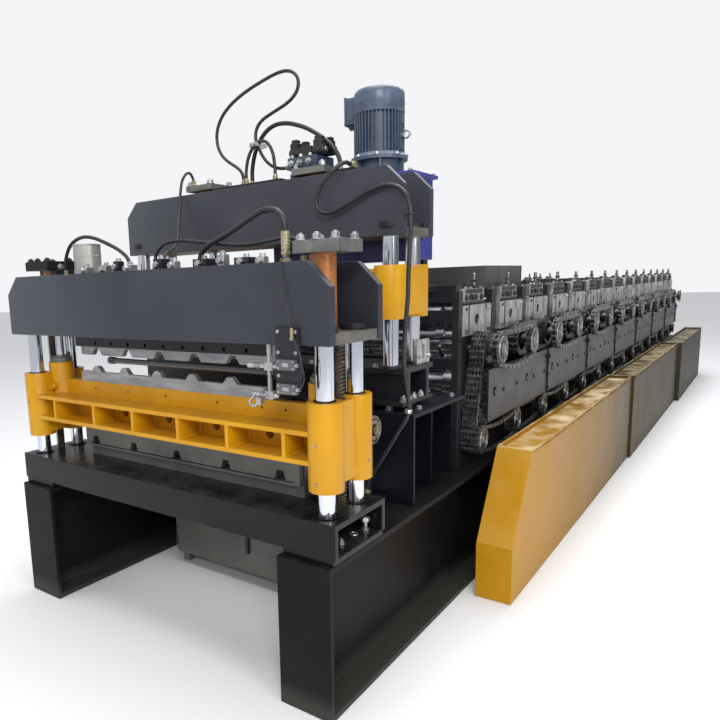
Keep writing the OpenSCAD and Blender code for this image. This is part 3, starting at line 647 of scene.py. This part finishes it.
def chain(g, path, x0, x1, strands, pitch, half_h, plate_t=2.4, roller=7.0):
    P = [Vector(p) for p in path]
    P.append(P[0])
    L = [0.0]
    for a, b in zip(P, P[1:]):
        L.append(L[-1] + (b - a).length)
    n = int(L[-1] / pitch)
    n -= n % 2
    pin = []
    j = 0
    for k in range(n):
        t = L[-1] * k / n
        while L[j + 1] < t:
            j += 1
        s = (t - L[j]) / max(L[j + 1] - L[j], 1e-9)
        pin.append(P[j].lerp(P[j + 1], s))
    w = (x1 - x0) / strands
    for k in range(n):
        a, b = pin[k], pin[(k + 1) % n]
        d = (b - a).normalized()
        nrm = Vector((-d.y, d.x))
        c = (a + b) / 2
        h = (b - a).length / 2 + half_h * 0.85
        oval = [(-h, -half_h * 0.5), (-h, half_h * 0.5), (-h + half_h * 0.6, half_h), (0, half_h * 0.78), (h - half_h * 0.6, half_h), (h, half_h * 0.5), (h, -half_h * 0.5),
                (h - half_h * 0.6, -half_h), (0, -half_h * 0.78), (-h + half_h * 0.6, -half_h)]
        pts = [(c.x + d.x * u + nrm.x * v, c.y + d.y * u + nrm.y * v) for u, v in oval]
        g.mi = 0
        o = 0.0 if k % 2 else plate_t
        for s in range(strands):
            xa, xb = x0 + s * w, x0 + (s + 1) * w
            g.poly_prism(pts, "x", xa + o + 0.4, xa + o + 0.4 + plate_t)
            g.poly_prism(pts, "x", xb - o - 0.4 - plate_t, xb - o - 0.4)
        g.mi = 1
        g.cyl("x", a.x, a.y, x0 - 0.6, x1 + 0.6, roller * 0.45, 6)
        g.mi = 2
        for s in range(strands):
            g.cyl("x", a.x, a.y, x0 + s * w + 2 * plate_t + 1, x0 + (s + 1) * w - 2 * plate_t - 1, roller, 8)


g = Geo()
for i in range(N_ST - 1):
    out = i % 2 == 0
    chain(g, loop_path(YU[i], YU[i + 1], ZC, 71, 4 if out else 2, 30 if out else 10), 839 if out else 755, 865 if out else 803, 1 if out else 2, 31.75, 11)
g.done("chains_upper", [OIL, RIM, OIL], "base", replaces=["drive_chains"])
g = Geo()
for i in range(N_ST - 1):
    out = i % 2 == 0
    chain(g, loop_path(YL[i], YL[i + 1], ZA, 57, 22 if out else 8, 16), 810.5 if out else 778.5, 825.5 if out else 801.5, 1, 25.4, 9)
chain(g, slant_path(YL[0], ZA, 56, YU[0], ZC, 71), 742, 808, 4, 27, 10)
g.done("chains_lower", [OIL, RIM, OIL], "base")

# cover plates between the levels: bolts, shaft ends in the openings, edge bars at the joints
g = Geo()
for i in range(N_ST - 1):
    for y in (130, 330):
        g.mi = 0
        g.bolt("x", YU[i] + y, 835, 832, 6, 17, washer=False)
    # near-black disc behind each shaft end: painted shade inside the opening
    g.mi = 2
    g.cyl("x", YU[i], 845, 820, 825, 21.5, 26)
    g.mi = 1
    g.cyl("x", YU[i] + 9, 841, 825, 831, 11, 18)
    if i % 2 == 1:
        g.mi = 1
        g.box(832, 840, YU[i] + 376, YU[i] + 392, 716, 950)
        g.box(832, 850, YU[i] + 370, YU[i] + 398, 900, 926)
        g.mi = 0
        for z in (740, 815, 880):
            g.bolt("x", YU[i] + 384, z, 840, 5, 12, washer=False)
g.done("chain_plate_bolts", [DRK, WALL, HOL], "base", bevel=0.7)

# ------------------------------------------------------------------ motor
g = Geo()
cx_, cy_ = 445, 1020
g.cyl("z", cx_, cy_, 1785, 1795, 116, 40)
g.cyl("z", cx_, cy_, 1795, 1852, 86, 40, r2=94)
g.cyl("z", cx_, cy_, 1852, 1866, 118, 48)
g.cyl("z", cx_, cy_, 1866, 1882, 117, 48, r2=104)
g.cyl("z", cx_, cy_, 1882, 2048, 89, 48)
for k in range(40):
    t = 2 * math.pi * (k + 0.5) / 40
    c, s = math.cos(t), math.sin(t)
    q = [(cx_ + r * c - w * s, cy_ + r * s + w * c) for r, w in ((87, -2.4), (105, -1.7), (105, 1.7), (87, 2.4))]
    g.poly_prism(q, "z", 1880, 2046)
# fan cowl with a domed edge and a grille
prof = [(2040, 103), (2044, 105.5), (2112, 105.5), (2126, 102), (2135, 94), (2139, 78)]
rows = []
for z, r in prof:
    rows.append([g.bm.verts.new(M(cx_ + r * math.cos(2 * math.pi * k / 48), cy_ + r * math.sin(2 * math.pi * k / 48), z)) for k in range(48)])
for a, b in zip(rows, rows[1:]):
    for k in range(48):
        g.bm.faces.new((a[k], a[(k + 1) % 48], b[(k + 1) % 48], b[k]))
g.bm.faces.new(rows[-1])
g.bm.faces.new(rows[0][::-1])
for r in (28, 44, 60, 74):
    g.ring("z", cx_, cy_, 2138, r, 1.6, 36, 6)
g.ring("z", cx_, cy_, 2078, 105.6, 1.3, 48, 6)
g.ring("z", cx_, cy_, 2044, 104.5, 2.4, 48, 6)
# terminal box, gland, flange bolts, lifting eye
g.box(306, 352, 984, 1056, 2018, 2124)
g.box(300, 307, 980, 1060, 2013, 2129)
g.mi = 1
for z in (2024, 2118):
    for y in (988, 1052):
        g.bolt("x", y, z, 300, -4, 9, washer=False)
g.mi = 2
g.cyl("z", 326, 1000, 1996, 2018, 11, 16)
g.hexa("z", 326, 1000, 2004, 2012, 28)
for k in range(8):
    t = 2 * math.pi * (k + 0.5) / 8
    x, y = cx_ + 110 * math.cos(t), cy_ + 110 * math.sin(t)
    g.mi = 1
    g.bolt("z", x, y, 1866, 8, 15)
    g.mi = 0
for k in range(6):
    t = 2 * math.pi * k / 6
    g.poly_prism([(cx_ + r * math.cos(t) - w * math.sin(t), cy_ + r * math.sin(t) + w * math.cos(t)) for r, w in ((84, -4), (112, -4), (112, 4), (84, 4))], "z", 1796, 1851)
g.mi = 1
g.cyl("x", cy_, 1946, cx_ + 100, cx_ + 114, 9, 14)
g.ring("y", cx_ + 126, 1946, cy_, 14, 4.2, 22, 8)
g.mi = 0
for dz in (-52, 52):
    g.box(cx_ + 92, cx_ + 112, cy_ - 9, cy_ + 9, 1946 + dz - 8, 1946 + dz + 8)
g.done("motor_body", [MOT, ZNC, PLA], "base", bevel=0.8, replaces=["pump_motor"])

# ------------------------------------------------------------------ valves
g = Geo()
g.box(195, 335, 705, 835, 1815, 1862)
g.mi = 3
for x in (212, 254, 300):
    g.bolt("z", x, 716, 1862, 9, 15)
    g.bolt("z", x, 824, 1862, 9, 15)
for z in (1838,):
    for x in (220, 262, 305):
        g.hexa("y", x, z, 705, 690, 24)
        g.cyl("y", x, z, 690, 680, 8, 14)
g.mi = 1
for y, x0 in ((742, 205), (798, 215)):
    g.box(x0 + 35, x0 + 95, y - 22, y + 22, 1862, 1902)
    for a, b in ((x0 - 15, x0 + 33), (x0 + 97, x0 + 150)):
        g.cyl("x", y, 1884, a, b, 20, 22)
        g.box(a + 6, b - 8, y - 17, y + 17, 1890, 1922)
        g.box(a + 10, b - 12, y - 13, y + 13, 1922, 1936)
        g.mi = 3
        g.cyl("x", y, 1884, a - 6 if a < x0 else b, a if a < x0 else b + 6, 9, 14)
        g.mi = 1
g.mi = 2
for x, y in ((240, 770), (310, 772)):
    g.cyl("z", x, y, 1862, 1878, 9, 14)
    g.hexa("z", x, y, 1878, 1890, 20)
g.done("valve_stack", [VLV, PLA, ZNC, ZNC], "base", bevel=1.2, replaces=["valve_block"])

# ------------------------------------------------------------------ bolts on caps, plates and table
g = Geo()
for s in (1, -1):
    g.mi = 0 if s > 0 else 1
    for x, y in ((662, 118), (662, 227), (785, 118), (785, 227), (724, 112)):
        g.bolt("z", x * s, y, 1488, 15 if s > 0 else 8, 24, stud=5)
    g.mi = 0
    for x, y in ((238, 706), (238, 834), (362, 706), (362, 834)):
        g.bolt("z", x * s, y, 1815, 14, 24, stud=5)
    # nuts on the pillar ends above the crosshead plates
    g.mi = 1
    for y in (85, 260):
        g.cyl("z", 760 * s, y, 1212, 1232, 42, 28)
    for y in (672, 858):
        g.cyl("z", 676 * s, y, 1552, 1572, 42, 28)
g.box(-760, -640, 140, 235, 1425, 1450)
g.done("cap_bolts", [ZNC, BLK], "base", bevel=1.0)

g = Geo()
for s in (1, -1):
    for y in (85, 260):
        g.cyl("z", 760 * s, y, 644, 648, 42, 30)
        g.ring("z", 760 * s, y, 648, 32, 3, 30, 6)
for x in (-540, -300, -60, 180, 420, 590):
    g.mi = 1
    g.bolt("z", x, 245, 644, 9, 17)
g.mi = 0
g.box(650, 700, 236, 318, 644, 662)
g.box(690, 700, 236, 318, 662, 694)
g.mi = 1
for y in (255, 300):
    g.bolt("z", 670, y, 662, 8, 16)
# near-black flat discs on the table top: painted shade in holes
g.mi = 2
for x in (-500, -380, -120, 20, 260, 400):
    g.cyl("z", x, 70 + (x % 7) * 4, 644, 644.6, 7, 14)
# hold-down bolts, studs and a hole on the foot plates inside the table's open ends
for s in (1, -1):
    g.mi = 1
    g.ring("z", 763 * s, 240, 534, 13, 3, 26, 6)
    g.bolt("z", 768 * s, 150, 532, 11, 20, stud=6)
    g.bolt("z", 800 * s, 64, 532, 9, 15)
    g.cyl("z", 776 * s, 292, 532, 582, 8, 16)
    g.hexa("z", 776 * s, 292, 566, 580, 30)
    g.hexa("z", 776 * s, 292, 532, 540, 26)
    # near-black discs on the foot plates: painted shade in the holes
    g.mi = 2
    g.cyl("z", 763 * s, 240, 532, 533.2, 11, 20)
    g.cyl("z", 790 * s, 110, 532, 533, 7, 16)
    g.mi = 0
    g.box(min(700 * s, 716 * s), max(700 * s, 716 * s), 42, 315, 532, 560)
g.done("table_fittings", [TABLE, ZNC, HOL], "base", bevel=0.8)

# rear bed: jack screws, nuts, bolts
g = Geo()
for s in (1, -1):
    for y in (700, 745, 790, 850, 890):
        g.mi = 0
        g.bolt("z", 715 * s, y, 900, 14, 22, stud=8)
    for y in (690, 880):
        g.bolt("z", 660 * s, y, 866, 14, 24, stud=4)
    g.mi = 1
    for y in (672, 858):
        g.cyl("z", 676 * s, y, 1030, 1042, 42, 28)
    g.mi = 0
    for y in (815, 900):
        g.bolt("x", y, 1060, 723 * s, 8 * s, 15)
for x in range(-600, 601, 150):
    g.bolt("z", x, 690, 1030, 10, 17)
for s in (1, -1):
    for y in (760, 1080):
        g.bolt("z", 752 * s, y, 866, 10, 18)
g.done("bed_bolts", [ZNC, BLK], "base", bevel=0.8)

# ------------------------------------------------------------------ carriage details
g = Geo()
g.mi = 0
g.cyl("y", -690, 947, 122, 104, 17, 26)
g.ring("y", -690, 947, 104, 14, 3.2, 26, 8)
g.cyl("y", -690, 947, 104, 99, 8, 18)
# near-black discs on the carriage face: painted shade in holes
g.mi = 1
for x in (250, 457, 557, -20, -240, -450):
    g.cyl("y", x, 948, 158, 157.3, 4.5, 14)
g.mi = 2
for x, y, z in ((760, 29, 880), (760, 29, 760), (-760, 29, 880)):
    g.cyl("y", x, z, y + 1, y - 5, 4, 12)
    g.cyl("y", x, z, y - 5, y - 9, 2.5, 10)
g.cyl("x", 252, 790, 815, 822, 4, 12)
# dark wiper rings on top and under the sleeves
g.mi = 1
for s in (1, -1):
    for y in (85, 260):
        g.ring("z", 760 * s, y, 1007.5, 33, 3.0, 32, 6)
        g.ring("z", 760 * s, y, 728.5, 33, 2.0, 32, 6)
    g.mi = 3
    g.cyl("z", 705 * s, 172, 1050, 1070, 47, 30)
    g.cyl("z", 705 * s, 172, 1070, 1078, 40, 30)
    g.mi = 1
g.done("carriage_details", [YEL, HOL, ZNC, UND], "front_carriage_body", bevel=0.8)

# weld fillets of the ribs
g = Geo()
for x in (-595, -329, -92, 153, 389, 627):
    for s in (-1, 1):
        e = x + 7 * s
        g.poly_prism([(e, 823), (e + 7 * s, 823), (e, 830)], "y", 50, 157)
        g.poly_prism([(e, 900), (e + 7 * s, 900), (e, 893)], "y", 50, 157)
        g.poly_prism([(e, 158), (e + 8 * s, 158), (e, 150)], "z", 824, 899)
g.done("carriage_welds", [YEL], "front_carriage_body", bevel=1.5)

# concentric disc on the cross shaft
g = Geo()
for s in (1, -1):
    x = 770 * s
    g.cyl("x", 370, 862, 745 * s, x, 49, 40)
    for R, w in ((44, 3.2), (33, 2.6), (22, 2.4)):
        g.ring("x", 370, 862, x, R, w, 40, 8)
    # near-black rings between the brass faces: painted shade in the grooves
    g.mi = 1
    for R in (39.5, 28):
        g.cyl("x", 370, 862, x, x + 0.8 * s, R, 36)
        g.mi = 0
        g.cyl("x", 370, 862, x, x + 1.6 * s, R - 4, 36)
        g.mi = 1
    g.mi = 0
    g.cyl("x", 370, 862, x, x + 9 * s, 15, 24)
    g.cyl("x", 370, 862, x + 9 * s, x + 12 * s, 7, 18)
    for k in range(4):
        t = math.pi / 2 * k + 0.6
        g.bolt("x", 370 + 33 * math.cos(t), 862 + 33 * math.sin(t), x, 5 * s, 9, washer=False)
g.cyl("x", 370, 862, -745, 745, 20, 28)
g.done("cross_shaft", [DSC, HOL], "front_carriage_body", bevel=0.6, replaces=["sync_shaft"])

# toothed racks
g = Geo()
for s in (1, -1):
    xa = 748 * s
    pts = [(xa + 1 * s, 1180), (xa + 1 * s, 644)]
    z = 644
    side = []
    while z < 1170:
        side += [(xa + 15 * s, z), (xa + 15 * s, z + 3.6), (xa + 23.5 * s, z + 6.2), (xa + 23.5 * s, z + 9.4)]
        z += 12
    side.append((xa + 15 * s, 1180))
    g.mi = 0
    g.poly_prism(pts + side, "y", 155, 184)
    g.mi = 1
    g.box(min(xa, xa + 8 * s), max(xa, xa + 8 * s), 152, 155, 644, 1180)
    g.mi = 0
g.done("rack_teeth", [RCK, DRK], "base", replaces=["front_racks"])

# ------------------------------------------------------------------ switch bracket
g = Geo()
g.mi = 1
for x, z in ((648, 1222), (712, 1222), (648, 1090), (712, 1160), (648, 1160)):
    g.bolt("y", x, z, 8, -4, 11, washer=False)
for x0, x1, z0, z1 in ((649, 716, 1108, 1140), (647, 717, 1036, 1067)):
    g.mi = 3
    g.box(x0 + 8, x1 - 8, 0, 8, z0 + 6, z1 - 6)
    g.mi = 2
    g.box(x0, x1, -6, 8, z0, z1)
    g.mi = 1
    for x in (x0 + 7, x1 - 7):
        g.cyl("y", x, z0 + 6, -6, -8, 3.4, 10)
        g.cyl("y", x, z1 - 6, -6, -8, 3.4, 10)
    g.box(x0 + 22, x1 - 24, -7, -5.6, z0 + 10, z1 - 10)
    g.cyl("x", 0, (z0 + z1) / 2, x1, x1 + 9, 6, 14)
# square hanger bar with two cross clamps, and the knurled sensor rods
g.mi = 1
g.box(608, 618, 2, 12, 1012, 1182)
for z in (1116, 1028):
    g.box(598, 630, -2, 22, z - 12, z + 12)
    g.cyl("y", 604, z, -2, -7, 5, 12)
    g.cyl("y", 624, z, -2, -7, 5, 12)
for z, x0, x1 in ((1116, 540, 648), (1027, 556, 646)):
    g.mi = 1
    g.cyl("x", 6, z, x0, x1, 6.5, 16)
    for k in range(5):
        g.hexa("x", 6, z, x0 + 8 + k * 17, x0 + 16 + k * 17, 18 if k % 2 else 15)
    g.cyl("x", 6, z, x0 - 8, x0 + 4, 9, 16)
g.tube([(552, 4, 1020), (540, 2, 1012), (534, 0, 1000), (540, -2, 992), (556, -2, 990), (570, 0, 1000)], 4.5, 10)
g.box(566, 584, -6, 14, 996, 1018)
g.mi = 4
W = [(724, -2, 1123), (738, -6, 1126), (748, -8, 1112), (750, -8, 1090), (744, -8, 1068), (732, -4, 1054), (724, -2, 1052)]
g.tube([tuple(v) for v in smooth_route(W, 5)], 2.6, 8)
W2 = [(712, -3, 1206), (724, -5, 1180), (736, -7, 1156), (743, -8, 1134), (744, -8, 1110), (738, -8, 1084)]
g.tube([tuple(v) for v in smooth_route(W2, 5)], 2.4, 8)
W3 = [(703, -2, 1232), (690, 4, 1275), (676, 8, 1335), (666, 10, 1392), (662, 18, 1430), (666, 40, 1440)]
g.tube([tuple(v) for v in smooth_route(W3, 5)], 2.2, 8)
g.mi = 5
g.cyl("z", 706, -2, 1208, 1234, 5.5, 14)
g.hexa("z", 706, -2, 1198, 1208, 13)
g.done("limit_switches", [BLK, ZNC, CLR, PLA, PLA, BRS], "base", bevel=0.6)

# collars on the guide rod
g = Geo()
for a, b, r in ((-214, -188, 14), (-188, -176, 12), (560, 572, 13), (596, 622, 14)):
    g.cyl("x", 60, 1090, a, b, r, 22)
g.mi = 1
g.cyl("x", 60, 1090, -176, 560, 10.6, 22)
g.done("rod_collars", [PLA, GRB], "base", bevel=0.8)

# holder screws and row of fittings on the front crosshead
g = Geo()
for k in range(9):
    g.mi = 1
    g.cyl("y", -432 + k * 103.5, 1140, 166, 173, 7.6, 14)
g.done("holder_screws", [BLK, HOL], "base")

g = Geo()
for x, w, h, k in ((-300, 46, 30, 0), (-215, 30, 42, 1), (-150, 38, 26, 0), (20, 44, 40, 2), (95, 30, 28, 0), (230, 60, 30, 1), (330, 30, 40, 0), (420, 60, 26, 1), (-420, 40, 28, 0), (500, 28, 24, 0)):
    g.mi = 0 if k == 0 else 1
    g.box(x - w / 2, x + w / 2, 120, 120 + w, 1425, 1425 + h)
    g.mi = 0
    g.bolt("z", x, 120 + w / 2, 1425 + h, 10, 18)
    g.hexa("y", x, 1425 + h / 2, 120, 106, 20)
g.done("top_blocks", [ZNC, BLK], "base", bevel=1.0)

# left coupling
g = Geo()
g.mi = 1
for x in (-672, -650):
    g.hexa("x", 165, 1462, x, x + 14, 26)
g.cyl("x", 165, 1462, -672, -628, 9, 16)
g.done("left_coupling", [BLK, ZNC], "base", bevel=1.0)

# hose ties and the clip on the rear crosshead's corner
g = Geo()
for z in (1941, 1947, 1953):
    g.ring("z", 12, 747, z, 36, 2.2, 30, 6)
g.ring("z", 777, 617, 886, 11, 4.4, 24, 8)
g.ring("z", 777, 617, 879, 10.5, 3, 24, 8)
g.mi = 1
g.ring("z", 792, 600, 1586, 10, 3.5, 24, 8)
g.box(744, 784, 640, 650, 1580, 1592)
g.done("hose_ties", [ZNC, PLA], "base")

# round can: lid seam, rim
g = Geo()
g.cyl("z", -480, 190, 1425, 1546, 56, 40)
g.ring("z", -480, 190, 1546, 55, 3.4, 40, 8)
g.ring("z", -480, 190, 1430, 56, 2.6, 40, 8)
g.ring("z", -480, 190, 1500, 56, 1.4, 40, 6)
g.cyl("z", -480, 190, 1546, 1550, 44, 36)
g.done("round_can_body", [CAN], "base", replaces=["round_can"])

# cabinet: door seam, handle, hinges
g = Geo()
g.box(-474, 234, 594, 600, 62, 448)
g.mi = 1
g.box(-12, 4, 580, 594, 150, 232)
g.cyl("y", -4, 236, 594, 584, 9, 16)
for z in (110, 400):
    g.cyl("z", -470, 590, z - 22, z + 22, 6, 14)
g.done("cabinet_door", [OLV, PLA], "base", bevel=2.0)

# tank: lid bolts, filler, level glass
g = Geo()
for x in range(-55, 640, 99):
    for y in (915, 1135):
        g.mi = 0
        g.bolt("z", x, y, 1785, 7, 13)
g.mi = 1
g.cyl("z", 60, 980, 1785, 1820, 34, 28)
g.cyl("z", 60, 980, 1820, 1846, 42, 28)
g.mi = 2
g.box(640, 646, 1010, 1036, 1520, 1680)
g.mi = 0
for z in (1532, 1668):
    g.bolt("x", 1023, z, 646, 6, 14, washer=False)
g.done("tank_fittings", [ZNC, PLA, CLR], "base", bevel=1.0)

# top cover: corner ribs and screws
g = Geo()
for y in (1790, 1975, 2160, 2344):
    g.box(640, 644, y, y + 6, 1303, 1417)
g.box(-642, 646, 1786, 1790, 1303, 1309)
for y in (1850, 2060, 2280):
    g.bolt("x", y, 1320, 644, 4, 10, washer=False)
g.done("cover_ribs", [CVR], "base", bevel=0.8)

# rail lips on the guards
g = Geo()
for x0, w, y0, y1, mi in ((880, 152, 1300, 3712, 0), (888, 160, 3752, 6322, 0), (905, 180, 6362, 8492, 1)):
    g.mi = mi
    g.box(x0 + 1, x0 + 11, y0, y1, 611, 619)
    g.box(x0 + w - 10, x0 + w - 1, y0, y1, 602, 611)
g.done("guard_lips", [GRD, GRD3], "base", bevel=1.5)


# ------------------------------------------------------------------ stage
def stage():
    me = bpy.data.meshes.new("floor")
    s = 40
    me.from_pydata([(-s, -s, 0), (s, -s, 0), (s, s, 0), (-s, s, 0)], [], [(0, 1, 2, 3)])
    fl = bpy.data.objects.new("floor", me)
    fl.location.z = -0.0015
    m = bpy.data.materials.new("floor_pale")
    m.use_nodes = True
    b = m.node_tree.nodes["Principled BSDF"]
    b.inputs["Base Color"].default_value = (0.86, 0.86, 0.87, 1)
    b.inputs["Roughness"].default_value = 0.85
    me.materials.append(m)
    bpy.context.scene.collection.objects.link(fl)
    w = bpy.data.worlds.new("studio")
    w.use_nodes = True
    nt = w.node_tree
    nd, ln = nt.nodes, nt.links
    tc = nd.new("ShaderNodeTexCoord")
    dot = nd.new("ShaderNodeVectorMath")
    dot.operation = "DOT_PRODUCT"
    dot.inputs[1].default_value = (-0.55, -0.83, 0.0)
    ln.new(tc.outputs["Generated"], dot.inputs[0])
    m1 = nd.new("ShaderNodeMapRange")
    m1.inputs["From Min"].default_value = -1
    m1.inputs["To Min"].default_value = 0.16
    m1.inputs["To Max"].default_value = 0.72
    ln.new(dot.outputs["Value"], m1.inputs["Value"])
    sp = nd.new("ShaderNodeSeparateXYZ")
    ln.new(tc.outputs["Generated"], sp.inputs[0])
    m2 = nd.new("ShaderNodeMapRange")
    m2.inputs["From Min"].default_value = 0.05
    m2.inputs["From Max"].default_value = 0.9
    m2.inputs["To Max"].default_value = 0.35
    ln.new(sp.outputs["Z"], m2.inputs["Value"])
    ad = nd.new("ShaderNodeMath")
    ln.new(m1.outputs["Result"], ad.inputs[0])
    ln.new(m2.outputs["Result"], ad.inputs[1])
    lp = nd.new("ShaderNodeLightPath")
    mx = nd.new("ShaderNodeMix")
    ln.new(lp.outputs["Is Camera Ray"], mx.inputs["Factor"])
    ln.new(ad.outputs[0], mx.inputs["A"])
    mx.inputs["B"].default_value = 0.93
    bg = nd["Background"]
    bg.inputs["Color"].default_value = (0.97, 0.98, 1.0, 1)
    ln.new(mx.outputs["Result"], bg.inputs["Strength"])
    bpy.context.scene.world = w

    def area(name, loc, target, size, power, col=(1, 1, 1), sy=None):
        li = bpy.data.lights.new(name, "AREA")
        li.energy = power
        li.color = col
        li.size = size
        if sy:
            li.shape = "RECTANGLE"
            li.size_y = sy
        ob = bpy.data.objects.new(name, li)
        ob.location = loc
        d = Vector(target) - Vector(loc)
        ob.rotation_euler = d.to_track_quat("-Z", "Y").to_euler()
        bpy.context.scene.collection.objects.link(ob)
    area("key", (3.6, -8.6, 4.6), (0, -3.2, 0.9), 2.6, 215, (1.0, 0.985, 0.96), 2.0)
    area("top", (0.2, -0.5, 6.2), (0.2, -0.5, 0.5), 3.4, 400, (0.97, 0.98, 1.0), 10.0)
    area("side", (7.0, -6.0, 3.6), (0.9, -1.0, 0.6), 2.4, 120, (1.0, 0.99, 0.97), 3.4)


stage()
sc = bpy.context.scene
sc.view_settings.view_transform = "Standard"
